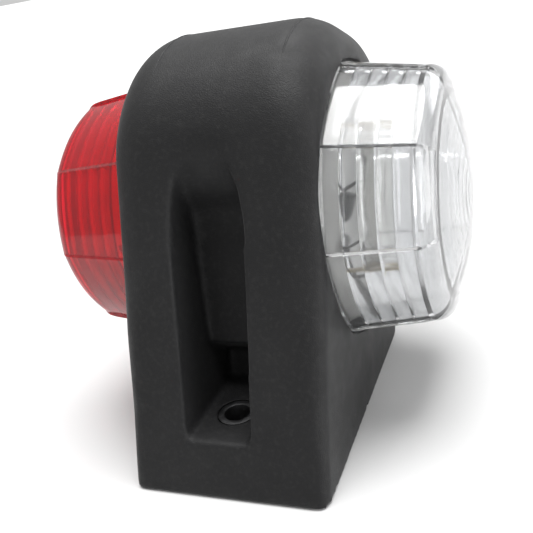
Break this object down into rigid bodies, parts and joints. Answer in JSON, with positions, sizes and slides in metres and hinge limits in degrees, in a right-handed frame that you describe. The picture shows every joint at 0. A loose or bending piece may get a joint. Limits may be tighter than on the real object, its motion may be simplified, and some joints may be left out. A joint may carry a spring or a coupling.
{
  "type": "two-sided outline marker lamp",
  "caption": "Rubber stem lamp with an eight-sided domed clear lens on one side and a red one on the other, a screw scoop in front and a slanted flat mounting face.",
  "frame": {"origin": "middle of the flat mounting face", "axes": "+Z away from the mounting face, into the lamp; +X to the clear lens; +Y to the back, the way the lamp leans"},
  "size_m": [0.1084, 0.1017, 0.0998],
  "materials": {
    "rubber": "matte black moulded rubber, fine grain",
    "soft_rubber": "matte soft black rubber",
    "clear_plastic": "clear polished acrylic with moulded rings",
    "red_plastic": "red polished acrylic with moulded rings",
    "white_plastic": "white moulded plastic, satin",
    "zinc_steel": "zinc-plated steel, satin",
    "brass": "bright brass",
    "tinned_metal": "bright tinned caps",
    "bulb_glass": "thin clear glass",
    "tungsten": "dark grey wire",
    "lead_sleeve": "black wire insulation, semi-gloss"
  },
  "bodies": {
    "base": {"rubber_body": "rubber", "base_plate": "zinc_steel", "fixing_sleeve": "zinc_steel", "rear_nut": "zinc_steel", "cable_grommet": "soft_rubber", "terminal_block": "white_plastic", "terminal_screw_clear": "brass", "terminal_screw_red": "brass", "clear_gasket": "soft_rubber", "clear_carrier": "white_plastic", "clear_bulb_glass": "bulb_glass", "clear_filament": "tungsten", "clear_bulb_cap_upper": "tinned_metal", "clear_contact_upper": "brass", "clear_rivet_upper": "brass", "clear_lead_upper": "lead_sleeve", "clear_bulb_cap_lower": "tinned_metal", "clear_contact_lower": "brass", "clear_rivet_lower": "brass", "clear_lead_lower": "lead_sleeve", "red_gasket": "soft_rubber", "red_carrier": "white_plastic", "red_bulb_glass": "bulb_glass", "red_filament": "tungsten", "red_bulb_cap_upper": "tinned_metal", "red_contact_upper": "brass", "red_rivet_upper": "brass", "red_lead_upper": "lead_sleeve", "red_bulb_cap_lower": "tinned_metal", "red_contact_lower": "brass", "red_rivet_lower": "brass", "red_lead_lower": "lead_sleeve"},
    "clear_lens": {"clear_lens": "clear_plastic"},
    "red_lens": {"red_lens": "red_plastic"}
  },
  "joints": [
    {"name": "clear_lens_off", "type": "slide", "parent": "base", "child": "clear_lens", "axis": [1, 0, 0], "range_m": [0, 0.04]},
    {"name": "red_lens_off", "type": "slide", "parent": "base", "child": "red_lens", "axis": [-1, 0, 0], "range_m": [0, 0.04]}
  ]
}
